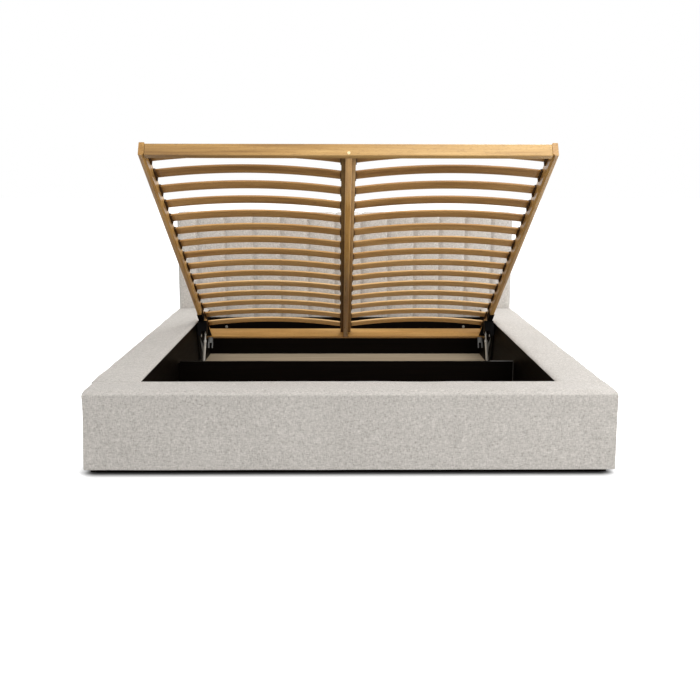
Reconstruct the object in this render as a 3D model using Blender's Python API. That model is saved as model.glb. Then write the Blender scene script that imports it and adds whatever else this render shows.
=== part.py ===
"""Upholstered storage bed with a lifting slatted lid, shown with the lid raised.

Metres, +Z up. The foot of the bed faces -Y and the headboard stands at +Y. The origin lies on the
floor, in the middle of the bed's length and width. A double slatted frame is the lid of a storage
box: on each side two steel arms and a gas strut carry it up and towards the foot.
"""

import math

import bmesh
import bpy
from mathutils import Matrix, Vector

# Bed and lid
bed_width = 2.000
lid_length = 1.997
rail_width = 0.186
foot_depth = 0.202
head_depth = 0.110
rail_height = 0.313
head_height = 0.889
gap = 0.0003

# Room around the closed lid
lid_side_gap = 0.0185
lid_front_gap = 0.052
lid_rear_gap = 0.036
closed_recess = 0.045

# Carcass boards, which stand on the floor
board_thickness = 0.018
lip_drop = 0.012
board_edge_round = 0.0015
head_board_inset = 0.012

# Storage floor, divider, rear panel and the ledge that the closed lid rests on
floor_top = 0.035
floor_thickness = 0.012
divider_back_distance = 0.942
divider_thickness = 0.016
divider_top = 0.203
rear_panel_thickness = 0.016
rear_panel_top = 0.257
ledge_depth = 0.075
ledge_height = 0.035
ledge_end_inset = 0.040

# Upholstered pads
pad_lift = 0.015
pad_bottom_round = 0.010
foot_top_round = 0.026
foot_end_round = 0.008
foot_crown = 0.006
side_top_round = 0.012
side_end_round = 0.006
side_crown = 0.006
top_crown = 0.003
lip_round = 0.005
lip_end_margin = 0.001
round_steps = 4
pad_long_steps = 8

# Headboard pad with upright channels
full_channels = 11
edge_channel_share = 0.75
channel_depth = 0.018
channel_power = 3.0
channel_shares = (0.0, 0.10, 0.28, 0.5, 0.72, 0.90)
head_top_round = 0.034
head_side_round = 0.014
head_scallop = 0.012
head_pad_thickness = 0.077
head_row_shares = (0.0, 0.35, 0.7, 0.9)

# Lid: a double slatted frame
side_rail_thickness = 0.022
side_rail_height = 0.055
cross_rail_thickness = 0.025
cross_rail_height = 0.050
centre_rail_width = 0.026
rail_edge_round = 0.002
rail_inner_chamfer = 0.008

# Crowned slats
slat_rows = 15
slat_width = 0.057
slat_thickness = 0.008
first_slat_place = 0.0884
last_slat_inset = 0.1278
slat_end_height = 0.033
slat_outer_lift = 0.007
slat_crown = 0.027
slat_steps = 10

# Lid when open, as in the photograph: tilt, and place of its front pivots
lid_tilt = math.radians(29.8)
open_pivot_inset = 0.5546
open_pivot_height = 0.2757

# Lift fitting on each side: pivots on the lid, and heights of the pivots on the side board
front_pivot_inset = 0.252
rear_pivot_inset = 0.137
pivot_drop = 0.035
front_base_height = 0.100
rear_base_height = 0.080

# Lift fitting: plates, arms and pins
plate_thickness = 0.0025
plate_margin = 0.0265
plate_floor_gap = 0.001
arm_thickness = 0.0035
arm_half_width = 0.013
side_play = 0.0007
pin_radius = 0.005
pin_play = 0.0003
pin_head_radius = 0.008
pin_head_thickness = 0.0012
round_segments = 16

# Bracket under the lid's side rail, with a hanger in front and an ear for the gas strut
bracket_front_inset = 0.277
bracket_rear_inset = 0.047
bracket_flange_drop = 0.052
bracket_inner_reach = 0.0165
bracket_thickness = 0.003
hanger_inset = 0.275
hanger_drop = 0.085
hanger_inner_drop = 0.060
hanger_step_reach = 0.0265
strut_ear_rear_inset = 0.224
strut_ear_drop = 0.062

# Gas strut: a ball stud on the side plate, and a flat eye beside the bracket's ear
strut_lid_inset = 0.237
strut_lid_drop = 0.050
strut_base_inset = 0.4415
strut_base_height = 0.060
ball_radius = 0.005
ball_neck_radius = 0.003
ball_play = 0.0004
strut_base_gap = 0.014
strut_eye_radius = 0.008
strut_eye_thickness = 0.005
strut_eye_play = 0.0018
strut_boss_thickness = 0.0015
strut_boss_radius = 0.006
cylinder_radius = 0.0075
cylinder_bore_radius = 0.0050
cylinder_foot_radius = 0.0060
cylinder_foot_length = 0.008
rod_radius = 0.0045
cylinder_top_gap = 0.024
bore_bottom_gap = 0.018
rod_end_gap = 0.022
eye_neck = 0.0095
eye_root = 0.002

# Sizes and places worked out from the ones above
storage_width = bed_width - 2 * rail_width
storage_length = lid_front_gap + lid_length + lid_rear_gap + rear_panel_thickness
bed_length = foot_depth + storage_length + head_depth
foot_y = -bed_length / 2
storage_front_y = foot_y + foot_depth
storage_rear_y = storage_front_y + storage_length
head_back_y = bed_length / 2
divider_back_y = storage_front_y + divider_back_distance
half_bed = bed_width / 2
half_storage = storage_width / 2
half_lid = half_storage - lid_side_gap
board_top = rail_height - lip_drop - gap
closed_height = rail_height - closed_recess - side_rail_height
closed_front = Vector((storage_front_y + lid_front_gap, closed_height))
open_pivot = Vector((storage_rear_y - open_pivot_inset, open_pivot_height))
channel_pitch = bed_width / (full_channels + 2 * edge_channel_share)
slat_pitch = (lid_length - first_slat_place - last_slat_inset) / (slat_rows - 1)
front_pivot_place = lid_length - front_pivot_inset
rear_pivot_place = lid_length - rear_pivot_inset
bracket_front_place = lid_length - bracket_front_inset
bracket_rear_place = lid_length - bracket_rear_inset
hanger_place = lid_length - hanger_inset
strut_ear_rear_place = lid_length - strut_ear_rear_inset
strut_lid_place = lid_length - strut_lid_inset


def principled(name, colour, roughness, metallic=0.0):
    """Return a new material with the piece's own colour."""
    material = bpy.data.materials.new(name)
    material.use_nodes = True
    shader = material.node_tree.nodes["Principled BSDF"]
    shader.inputs["Base Color"].default_value = (*colour, 1.0)
    shader.inputs["Roughness"].default_value = roughness
    shader.inputs["Metallic"].default_value = metallic
    material.diffuse_color = (*colour, 1.0)
    return material


def fabric(name):
    return principled(name, (0.66, 0.63, 0.58), 0.95)


def black_board(name):
    return principled(name, (0.018, 0.015, 0.013), 0.6)


def pale_board(name):
    return principled(name, (0.55, 0.45, 0.33), 0.55)


def beech(name):
    return principled(name, (0.62, 0.42, 0.22), 0.5)


def black_steel(name):
    return principled(name, (0.02, 0.02, 0.022), 0.45, 0.6)


def zinc_steel(name):
    return principled(name, (0.55, 0.56, 0.57), 0.35, 0.9)


def add_object(name, mesh_maker, material, smooth_angle=math.radians(35)):
    """Make an object from a bmesh, with its normals out and its material set."""
    mesh_maker.normal_update()
    bmesh.ops.recalc_face_normals(mesh_maker, faces=mesh_maker.faces)
    mesh = bpy.data.meshes.new(name)
    mesh_maker.to_mesh(mesh)
    mesh_maker.free()
    mesh.shade_smooth()
    mesh.set_sharp_from_angle(angle=smooth_angle)
    piece = bpy.data.objects.new(name, mesh)
    piece.data.materials.append(material)
    bpy.context.scene.collection.objects.link(piece)
    return piece


def add_bevel(piece, width):
    bevel = piece.modifiers.new("edge_round", "BEVEL")
    bevel.width = width
    bevel.segments = 1
    bevel.limit_method = "ANGLE"


def box(name, low, high, material, edge_round=0.0):
    """A rectangular board between two corners."""
    maker = bmesh.new()
    bmesh.ops.create_cube(maker, size=1.0)
    low, high = Vector(low), Vector(high)
    centre = (low + high) / 2
    size = high - low
    for vertex in maker.verts:
        vertex.co = Vector(centre[i] + vertex.co[i] * size[i] for i in range(3))
    piece = add_object(name, maker, material)
    if edge_round:
        add_bevel(piece, edge_round)
    return piece


def loft(name, stations, material):
    """A closed body through equal rings of points, with its two ends filled."""
    maker = bmesh.new()
    rings = [[maker.verts.new(point) for point in station] for station in stations]
    count = len(rings[0])
    for ring, following in zip(rings, rings[1:]):
        for i in range(count):
            j = (i + 1) % count
            maker.faces.new((ring[i], ring[j], following[j], following[i]))
    maker.faces.new(rings[0])
    maker.faces.new(rings[-1])
    return add_object(name, maker, material)


def extrude_outline(name, outline, low_x, high_x, material):
    """A plate of the outline's (y, z) points, from low_x to high_x."""
    stations = [[(x, y, z) for y, z in outline] for x in (low_x, high_x)]
    return loft(name, stations, material)


def circle_points(radius, centre=(0.0, 0.0)):
    turn = 2 * math.pi / round_segments
    return [
        (centre[0] + radius * math.cos(i * turn), centre[1] + radius * math.sin(i * turn))
        for i in range(round_segments)
    ]


def cross_pin(name, radius, centre, low_x, high_x, material):
    """A round pin along X at the (y, z) centre."""
    return extrude_outline(name, circle_points(radius, centre), low_x, high_x, material)


def sphere(name, radius, centre, material):
    maker = bmesh.new()
    half_count = round_segments // 2
    bmesh.ops.create_uvsphere(maker, u_segments=round_segments, v_segments=half_count, radius=radius)
    for vertex in maker.verts:
        vertex.co += Vector(centre)
    return add_object(name, maker, material)


def combine(piece, other, operation):
    """Join the other body to the piece, or cut it away, and hide the other body."""
    change = piece.modifiers.new(other.name, "BOOLEAN")
    change.operation = operation
    change.solver = "EXACT"
    change.object = other
    other.hide_render = True
    other.display_type = "WIRE"


def put_under(parent, *pieces):
    for piece in pieces:
        piece.parent = parent


def add_empty(name, place, tilt=0.0):
    """An empty on a joint's axis, at the (y, z) place, turned about X."""
    empty = bpy.data.objects.new(name, None)
    empty.location = (0.0, place[0], place[1])
    empty.rotation_euler = (tilt, 0.0, 0.0)
    bpy.context.scene.collection.objects.link(empty)
    return empty


def rounding(distance, radius):
    """How far a face has drawn in at this distance from an edge rounded by radius."""
    if distance >= radius:
        return 0.0
    return radius - math.sqrt(max(0.0, radius**2 - (radius - distance) ** 2))


def arc(centre, radius, start, end, steps=round_steps):
    """Points of an arc in a section, both ends included."""
    return [
        (
            centre[0] + radius * math.cos(start + (end - start) * i / steps),
            centre[1] + radius * math.sin(start + (end - start) * i / steps),
        )
        for i in range(steps + 1)
    ]


def end_stations(start, end, end_round):
    """Places along a pad: close together at its rounded ends, wide apart between them."""
    quarter = [end_round * (1 - math.cos(math.pi / 2 * i / round_steps)) for i in range(round_steps + 1)]
    inner_start, inner_end = start + end_round, end - end_round
    middle = [
        inner_start + (inner_end - inner_start) * i / pad_long_steps for i in range(1, pad_long_steps)
    ]
    return [start + step for step in quarter] + middle + [end - step for step in reversed(quarter)]


def pad_section(depth, top_round, face_crown, draw_in, middle_share):
    """Section of a padded board, as (across, z) points: across runs inwards from the outer face.

    The outer face and the top are crowned, and a lip lies over the board behind the padding. Where
    the top draws in at the ends of the footboard, the lip reaches lower.
    """
    outer = draw_in + face_crown * (1 - middle_share)
    top = rail_height - draw_in - top_crown * (1 - middle_share)
    lip_line = min(rail_height - lip_drop, top - lip_round - lip_end_margin)
    bulge = face_crown / 2
    quarter = math.pi / 2
    points = [(depth - board_thickness - gap, pad_lift)]
    points += arc(
        (outer + bulge + pad_bottom_round, pad_lift + pad_bottom_round),
        pad_bottom_round,
        3 * quarter,
        2 * quarter,
    )
    points.append((outer, (pad_lift + top) / 2))
    points += arc((outer + bulge + top_round, top - top_round), top_round, 2 * quarter, quarter)
    points.append(((outer + depth) / 2, top))
    points += arc((depth - lip_round, top - lip_round), lip_round, quarter, 0.0)
    points.append((depth, lip_line))
    points.append((depth - board_thickness - gap, lip_line))
    return points


def crown_share(share):
    """From 0 at a pad's ends to 1 along its middle."""
    return 1 - abs(2 * share - 1) ** 4


def build_foot():
    """Footboard: an upright board with a deep padded front, top and ends."""
    stations = []
    for x in end_stations(-half_bed, half_bed, foot_end_round):
        share = (x + half_bed) / bed_width
        draw_in = rounding(half_bed - abs(x), foot_end_round)
        section = pad_section(foot_depth, foot_top_round, foot_crown, draw_in, crown_share(share))
        stations.append([(x, foot_y + across, z) for across, z in section])
    loft("foot_pad", stations, fabric("foot_pad_fabric"))
    box(
        "foot_board",
        (-half_storage - board_thickness, storage_front_y - board_thickness, 0.0),
        (half_storage + board_thickness, storage_front_y, board_top),
        black_board("foot_board_black"),
        board_edge_round,
    )
    box(
        "front_ledge",
        (-half_storage + ledge_end_inset, storage_front_y + gap, closed_height - gap - ledge_height),
        (half_storage - ledge_end_inset, storage_front_y + ledge_depth, closed_height - gap),
        black_board("front_ledge_black"),
        board_edge_round,
    )


def build_side(side, label):
    """Side rail: a board towards the storage box and a padded outside, top and lip."""
    start, end = storage_front_y + gap, storage_rear_y - gap
    stations = []
    for y in end_stations(start, end, side_end_round):
        share = (y - start) / (end - start)
        draw_in = rounding(min(y - start, end - y), side_end_round) / 2
        depth = half_bed - half_storage
        section = pad_section(depth, side_top_round, side_crown, draw_in, crown_share(share))
        stations.append([(side * (half_bed - across), y, z) for across, z in section])
    loft(f"{label}_side_pad", stations, fabric(f"{label}_side_pad_fabric"))
    inner, outer = side * half_storage, side * (half_storage + board_thickness)
    box(
        f"{label}_side_board",
        (min(inner, outer), start, 0.0),
        (max(inner, outer), end, board_top),
        black_board(f"{label}_side_board_black"),
        board_edge_round,
    )


def channel_edges():
    """Places of the headboard's upright seams, from its left end to its right end."""
    first_seam = -full_channels * channel_pitch / 2
    seams = [first_seam + i * channel_pitch for i in range(full_channels + 1)]
    return [-half_bed] + seams + [half_bed]


def head_station(x, fullness):
    """Upright section of the headboard pad at x; fullness is 1 on a channel's crest."""
    side_draw = rounding(half_bed - abs(x), head_side_round)
    valley = channel_depth * (1 - fullness) + side_draw
    top = head_height - head_scallop * (1 - fullness) - side_draw / 2
    front_y = storage_rear_y + valley
    back_y = storage_rear_y + head_pad_thickness
    straight_top = top - head_top_round
    rows = [(front_y, pad_lift + (straight_top - pad_lift) * share) for share in head_row_shares]
    rows += arc(
        (front_y + head_top_round, straight_top), head_top_round, math.pi, math.pi / 2
    )
    rows += [(back_y, top), (back_y, pad_lift)]
    return [(x, y, z) for y, z in rows]


def build_head():
    """Headboard: a padded front with upright channels on a covered back board."""
    edges = channel_edges()
    stations = []
    for left, right in zip(edges, edges[1:]):
        for share in channel_shares:
            fullness = 1 - abs(2 * share - 1) ** channel_power
            stations.append(head_station(left + (right - left) * share, fullness))
    stations.append(head_station(half_bed, 0.0))
    loft("head_pad", stations, fabric("head_pad_fabric"))
    box(
        "head_board",
        (-half_bed + head_board_inset, storage_rear_y + head_pad_thickness + gap, 0.0),
        (half_bed - head_board_inset, head_back_y, head_height - head_scallop - head_board_inset),
        fabric("head_board_fabric"),
        board_edge_round,
    )


def build_storage():
    """Floor panels, divider and rear panel of the storage box."""
    inner = half_storage - gap
    panels = (
        ("floor_front", storage_front_y + gap, divider_back_y - gap),
        ("floor_rear", divider_back_y + gap, storage_rear_y - gap),
    )
    for name, start, end in panels:
        box(
            name,
            (-inner, start, floor_top - floor_thickness),
            (inner, end, floor_top),
            pale_board(f"{name}_decor"),
        )
    box(
        "divider",
        (-inner, divider_back_y - divider_thickness, floor_top + gap),
        (inner, divider_back_y, divider_top),
        black_board("divider_black"),
        board_edge_round,
    )
    box(
        "rear_panel",
        (-inner, storage_rear_y - gap - rear_panel_thickness, floor_top + gap),
        (inner, storage_rear_y - gap, rear_panel_top),
        black_board("rear_panel_black"),
        board_edge_round,
    )


def turned(point, angle):
    """A (y, z) point turned about the origin, as a turn about X does."""
    return Vector(
        (
            point[0] * math.cos(angle) - point[1] * math.sin(angle),
            point[0] * math.sin(angle) + point[1] * math.cos(angle),
        )
    )


def open_place(place, height):
    """Where a point of the lid lies when the lid is up: place runs back from its front end."""
    return open_pivot + turned((place - front_pivot_place, height + pivot_drop), -lid_tilt)


def closed_place(place, height):
    return closed_front + Vector((place, height))


def base_pivot(place, height, base_height):
    """The pivot on the side board whose arm carries a lid point from open to closed.

    It lies where the line midway between the two places of the point meets base_height.
    """
    opened, closed = open_place(place, height), closed_place(place, height)
    middle = (opened + closed) / 2
    travel = closed - opened
    across = Vector((-travel.y, travel.x))
    return middle + across * ((base_height - middle.y) / across.y)


def angle_of(vector):
    return math.atan2(vector.y, vector.x)


# Pivots and angles of the lift fitting
front_lid_pivot = open_place(front_pivot_place, -pivot_drop)
rear_lid_pivot = open_place(rear_pivot_place, -pivot_drop)
front_base_pivot = base_pivot(front_pivot_place, -pivot_drop, front_base_height)
rear_base_pivot = base_pivot(rear_pivot_place, -pivot_drop, rear_base_height)
strut_base = Vector((storage_rear_y - strut_base_inset, strut_base_height))

# Layers of the lift fitting, outwards from the lid towards the side board
plate_inner_x = half_storage - gap - plate_thickness
arm_outer_x = plate_inner_x - side_play
arm_inner_x = arm_outer_x - arm_thickness
flange_outer_x = arm_inner_x - side_play
flange_inner_x = flange_outer_x - bracket_thickness
bracket_inner_x = half_lid - side_rail_thickness - bracket_inner_reach
strut_base_x = plate_inner_x - strut_base_gap
strut_boss_end_x = bracket_inner_x + bracket_thickness + strut_boss_thickness
strut_lid_x = strut_boss_end_x + strut_eye_play + strut_eye_thickness / 2


def lid_box(name, low, high, material, edge_round=0.0):
    """A board given in the lid's own places: x, place back from the front end, height."""
    shift = Vector((0.0, front_pivot_place, -pivot_drop))
    return box(name, Vector(low) - shift, Vector(high) - shift, material, edge_round)


def side_rail_ring(side, place):
    """One upright ring of a side rail: small rounds, and a wide chamfer along its lower inner edge."""
    inner, top = half_lid - side_rail_thickness, side_rail_height
    ring = (
        (inner + rail_inner_chamfer, 0.0),
        (half_lid - rail_edge_round, 0.0),
        (half_lid, rail_edge_round),
        (half_lid, top - rail_edge_round),
        (half_lid - rail_edge_round, top),
        (inner + rail_edge_round, top),
        (inner, top - rail_edge_round),
        (inner, rail_inner_chamfer),
    )
    return [(side * x, place - front_pivot_place, height + pivot_drop) for x, height in ring]


def build_lid_frame(lid):
    """Five rails of the double slatted frame."""
    inner = half_lid - side_rail_thickness
    for side, label in ((-1, "left"), (1, "right")):
        stations = [side_rail_ring(side, place) for place in (0.0, lid_length)]
        put_under(lid, loft(f"lid_{label}_rail", stations, beech(f"lid_{label}_rail_beech")))
    cross_rails = (
        ("lid_front_rail", 0.0),
        ("lid_rear_rail", lid_length - cross_rail_thickness),
    )
    for name, start in cross_rails:
        rail = lid_box(
            name,
            (-inner + gap, start, 0.0),
            (inner - gap, start + cross_rail_thickness, cross_rail_height),
            beech(f"{name}_beech"),
            rail_edge_round,
        )
        put_under(lid, rail)
    centre = lid_box(
        "lid_centre_rail",
        (-centre_rail_width / 2, cross_rail_thickness + gap, 0.0),
        (centre_rail_width / 2, lid_length - cross_rail_thickness - gap, cross_rail_height),
        beech("lid_centre_rail_beech"),
        rail_edge_round,
    )
    put_under(lid, centre)


def slat_station(share, inner, outer, place):
    """One upright ring of a slat, share of the way from its inner end to its outer end."""
    x = inner + (outer - inner) * share
    end_rise = slat_end_height + slat_outer_lift * share
    rise = end_rise + slat_crown * 4 * share * (1 - share) + pivot_drop
    start = place - slat_width / 2 - front_pivot_place
    ring = ((0.0, 0.0), (slat_width, 0.0), (slat_width, slat_thickness), (0.0, slat_thickness))
    return [(x, start + across, rise + up) for across, up in ring]


def build_slats(lid):
    """Two rows of crowned slats between the centre rail and the side rails."""
    inner = centre_rail_width / 2 + gap
    outer = half_lid - side_rail_thickness - gap
    for side, label in ((-1, "left"), (1, "right")):
        for row in range(slat_rows):
            place = first_slat_place + row * slat_pitch
            stations = [
                slat_station(step / slat_steps, side * inner, side * outer, place)
                for step in range(slat_steps + 1)
            ]
            name = f"{label}_slat_{row + 1:02d}"
            put_under(lid, loft(name, stations, beech(f"{name}_beech")))


def build_side_plate(side, label):
    """Plate on the side board with the studs that the arms and the gas strut turn on."""
    material = black_steel(f"{label}_side_plate_steel")
    wall_x = side * (half_storage - gap)
    inner_x = side * plate_inner_x
    centres = (strut_base, front_base_pivot, rear_base_pivot)
    ys = [centre.x for centre in centres]
    zs = [centre.y for centre in centres]
    plate = box(
        f"{label}_side_plate",
        (min(wall_x, inner_x), min(ys) - plate_margin, floor_top + plate_floor_gap),
        (max(wall_x, inner_x), max(ys) + plate_margin, max(zs) + plate_margin),
        material,
    )
    stud_root_x = side * (plate_inner_x + plate_thickness / 2)
    stud_end_x = arm_inner_x - pin_play
    for stud_name, centre in (("front_stud", front_base_pivot), ("rear_stud", rear_base_pivot)):
        name = f"{label}_{stud_name}"
        stud = cross_pin(name, pin_radius, centre, stud_root_x, side * stud_end_x, material)
        combine(plate, stud, "UNION")
        head_end_x = side * (stud_end_x - pin_head_thickness)
        head_root_x = side * (stud_end_x + pin_play / 2)
        head = cross_pin(f"{name}_head", pin_head_radius, centre, head_root_x, head_end_x, material)
        combine(plate, head, "UNION")
    neck_name = f"{label}_ball_neck"
    neck = cross_pin(neck_name, ball_neck_radius, strut_base, stud_root_x, side * strut_base_x, material)
    combine(plate, neck, "UNION")
    ball = sphere(f"{label}_ball", ball_radius, (side * strut_base_x, *strut_base), material)
    combine(plate, ball, "UNION")


def arm_outline(length):
    """A flat bar with round ends, from its lower pivot at the origin along +Y."""
    quarter = math.pi / 2
    far_end = arc((length, 0.0), arm_half_width, -quarter, quarter, round_segments // 2)
    near_end = arc((0.0, 0.0), arm_half_width, quarter, 3 * quarter, round_segments // 2)
    return far_end + near_end


def build_arm(side, label, name, base, lid_pivot, hole_shares, material):
    """A lift arm, its origin on its lower pivot; hole_shares say where along it its holes lie."""
    direction = lid_pivot - base
    length = direction.length
    low_x, high_x = sorted((side * arm_outer_x, side * arm_inner_x))
    holder = add_empty(f"{label}_{name}_axis", base, angle_of(direction))
    arm = extrude_outline(f"{label}_{name}", arm_outline(length), low_x, high_x, material)
    put_under(holder, arm)
    for number, share in enumerate(hole_shares, 1):
        hole = cross_pin(
            f"{label}_{name}_hole_{number}",
            pin_radius + pin_play,
            (length * share, 0.0),
            low_x - arm_thickness,
            high_x + arm_thickness,
            material,
        )
        put_under(holder, hole)
        combine(arm, hole, "DIFFERENCE")


def build_lid_bracket(side, label, lid):
    """Folded bracket under the side rail: flange for the arms, hanger and ear for the gas strut."""
    material = black_steel(f"{label}_lid_bracket_steel")

    def edges(first, second):
        return sorted((side * first, side * second))

    def plate(name, xs, places, heights):
        return lid_box(
            f"{label}_{name}", (xs[0], places[0], heights[0]), (xs[1], places[1], heights[1]), material
        )

    under_bottom = -gap - bracket_thickness
    fold_height = under_bottom + bracket_thickness / 2
    bracket = plate(
        "lid_bracket",
        edges(flange_outer_x, bracket_inner_x),
        (bracket_front_place, bracket_rear_place),
        (under_bottom, -gap),
    )
    flange = plate(
        "bracket_flange",
        edges(flange_outer_x, flange_inner_x),
        (bracket_front_place, bracket_rear_place),
        (-bracket_flange_drop, fold_height),
    )
    hanger = plate(
        "bracket_hanger",
        edges(flange_outer_x - bracket_thickness / 2, bracket_inner_x + hanger_step_reach),
        (hanger_place, hanger_place + bracket_thickness),
        (-hanger_drop, fold_height),
    )
    inner_hanger = plate(
        "bracket_inner_hanger",
        edges(bracket_inner_x + hanger_step_reach + gap, bracket_inner_x),
        (hanger_place, hanger_place + bracket_thickness),
        (-hanger_inner_drop, fold_height),
    )
    ear = plate(
        "bracket_strut_ear",
        edges(bracket_inner_x, bracket_inner_x + bracket_thickness),
        (hanger_place + bracket_thickness / 2, strut_ear_rear_place),
        (-strut_ear_drop, fold_height),
    )
    put_under(lid, bracket, flange, hanger, inner_hanger, ear)
    for other in (flange, hanger, inner_hanger, ear):
        combine(bracket, other, "UNION")
    pins = (
        (
            "front_lid_pin", (0.0, 0.0), pin_radius,
            (flange_outer_x + flange_inner_x) / 2, arm_outer_x,
        ),
        (
            "strut_boss", (strut_lid_place - front_pivot_place, pivot_drop - strut_lid_drop),
            strut_boss_radius, bracket_inner_x + bracket_thickness / 2, strut_boss_end_x,
        ),
    )
    for pin_name, centre, radius, root_x, end_x in pins:
        pin = cross_pin(f"{label}_{pin_name}", radius, centre, side * root_x, side * end_x, material)
        put_under(lid, pin)
        combine(bracket, pin, "UNION")


def strut_ends(side):
    """The foot of the gas strut, its upper end with the lid up, and its upper end with the lid down."""
    base = Vector((side * strut_base_x, strut_base.x, strut_base.y))
    opened = open_place(strut_lid_place, -strut_lid_drop)
    closed = closed_place(strut_lid_place, -strut_lid_drop)
    lid_x = side * strut_lid_x
    return base, Vector((lid_x, *opened)), Vector((lid_x, *closed))


def strut_matrix(origin, direction):
    """Places a strut piece: its local Z runs along the strut, its local X stays near X."""
    along = direction.normalized()
    across = Vector((1.0, 0.0, 0.0))
    across = (across - along * across.dot(along)).normalized()
    third = along.cross(across)
    rotation = Matrix((across, third, along)).transposed().to_4x4()
    return Matrix.Translation(origin) @ rotation


def turned_tube(name, profile, material):
    """A body turned about Z from (radius, z) points; the first and last lie on the axis."""
    maker = bmesh.new()
    turn = 2 * math.pi / round_segments
    bottom = maker.verts.new((0.0, 0.0, profile[0][1]))
    top = maker.verts.new((0.0, 0.0, profile[-1][1]))
    rings = []
    for radius, z in profile[1:-1]:
        ring = [
            maker.verts.new((radius * math.cos(i * turn), radius * math.sin(i * turn), z))
            for i in range(round_segments)
        ]
        rings.append(ring)
    for i in range(round_segments):
        j = (i + 1) % round_segments
        maker.faces.new((bottom, rings[0][i], rings[0][j]))
        for ring, following in zip(rings, rings[1:]):
            maker.faces.new((ring[i], ring[j], following[j], following[i]))
        maker.faces.new((rings[-1][i], top, rings[-1][j]))
    return add_object(name, maker, material)


def build_strut(side, label):
    """Gas strut: a cylinder that swivels on the side plate's ball, and a rod up to the bracket."""
    base, opened, closed = strut_ends(side)
    closed_length = (closed - base).length

    cylinder_material = zinc_steel(f"{label}_gas_cylinder_steel")
    cylinder_axis = add_empty(f"{label}_gas_cylinder_axis", (0.0, 0.0))
    cylinder_axis.matrix_world = strut_matrix(base, opened - base)
    cylinder_top = closed_length - cylinder_top_gap
    foot = ball_radius + ball_play
    profile = [
        (0.0, foot),
        (cylinder_foot_radius, foot),
        (cylinder_foot_radius, foot + cylinder_foot_length),
        (cylinder_radius, foot + cylinder_foot_length),
        (cylinder_radius, cylinder_top),
        (cylinder_bore_radius, cylinder_top),
        (cylinder_bore_radius, bore_bottom_gap),
        (0.0, bore_bottom_gap),
    ]
    cylinder = turned_tube(f"{label}_gas_cylinder", profile, cylinder_material)
    put_under(cylinder_axis, cylinder)

    rod_material = zinc_steel(f"{label}_gas_rod_steel")
    rod_axis = add_empty(f"{label}_gas_rod_axis", (0.0, 0.0))
    rod_axis.matrix_world = strut_matrix(opened, opened - base)
    rod_bottom = -(closed_length - rod_end_gap)
    profile = [(0.0, rod_bottom), (rod_radius, rod_bottom), (rod_radius, -eye_neck), (0.0, -eye_neck)]
    rod = turned_tube(f"{label}_gas_rod", profile, rod_material)
    half = strut_eye_thickness / 2
    eye_outline = arc((0.0, 0.0), strut_eye_radius, 0.0, math.pi, round_segments // 2)
    eye_foot = -(eye_neck + eye_root)
    eye_outline += [(-strut_eye_radius, eye_foot), (strut_eye_radius, eye_foot)]
    eye = extrude_outline(f"{label}_rod_eye", eye_outline, -half, half, rod_material)
    put_under(rod_axis, rod, eye)
    combine(rod, eye, "UNION")


def print_record_values():
    """Print the joint places and ratios that follow from the sizes."""
    front_open = angle_of(front_lid_pivot - front_base_pivot)
    front_closed = angle_of(closed_place(front_pivot_place, -pivot_drop) - front_base_pivot)
    rear_open = angle_of(rear_lid_pivot - rear_base_pivot)
    rear_closed = angle_of(closed_place(rear_pivot_place, -pivot_drop) - rear_base_pivot)
    swing = front_open - front_closed
    print("bed length", round(bed_length, 4))
    print("front base pivot", tuple(front_base_pivot), "swing", math.degrees(swing))
    print("front lid pivot", tuple(front_lid_pivot), "ratio", (lid_tilt + swing) / swing)
    print("rear base pivot", tuple(rear_base_pivot), "ratio", (rear_open - rear_closed) / swing)
    print("rear lid pivot", tuple(rear_lid_pivot))
    for side, label in ((-1, "left"), (1, "right")):
        base, opened, closed = strut_ends(side)
        first, second = (opened - base), (closed - base)
        change = (second.normalized() - first.normalized()).normalized()
        axis = (change * change.x - Vector((1.0, 0.0, 0.0))).normalized()
        turn = (first - axis * first.dot(axis)).angle(second - axis * second.dot(axis))
        print(label, "strut base", tuple(base), "axis", tuple(axis), "ratio", turn / swing)
        slide_axis = first.normalized()
        stroke = first.length - second.length
        print(label, "rod axis", tuple(-slide_axis), "stroke", stroke, "ratio", stroke / swing)


def build():
    for old in list(bpy.data.objects):
        bpy.data.objects.remove(old)
    build_foot()
    build_head()
    build_storage()
    lid = add_empty("lid_pivot", front_lid_pivot, -lid_tilt)
    build_lid_frame(lid)
    build_slats(lid)
    for side, label in ((-1, "left"), (1, "right")):
        build_side(side, label)
        build_side_plate(side, label)
        build_arm(
            side, label, "front_arm", front_base_pivot, front_lid_pivot, (0, 1),
            black_steel(f"{label}_front_arm_steel"),
        )
        build_arm(
            side, label, "rear_arm", rear_base_pivot, rear_lid_pivot, (0,),
            zinc_steel(f"{label}_rear_arm_steel"),
        )
        build_lid_bracket(side, label, lid)
        build_strut(side, label)
    print_record_values()


build()
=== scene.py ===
import math

import bmesh
import bpy
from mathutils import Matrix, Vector, noise


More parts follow.
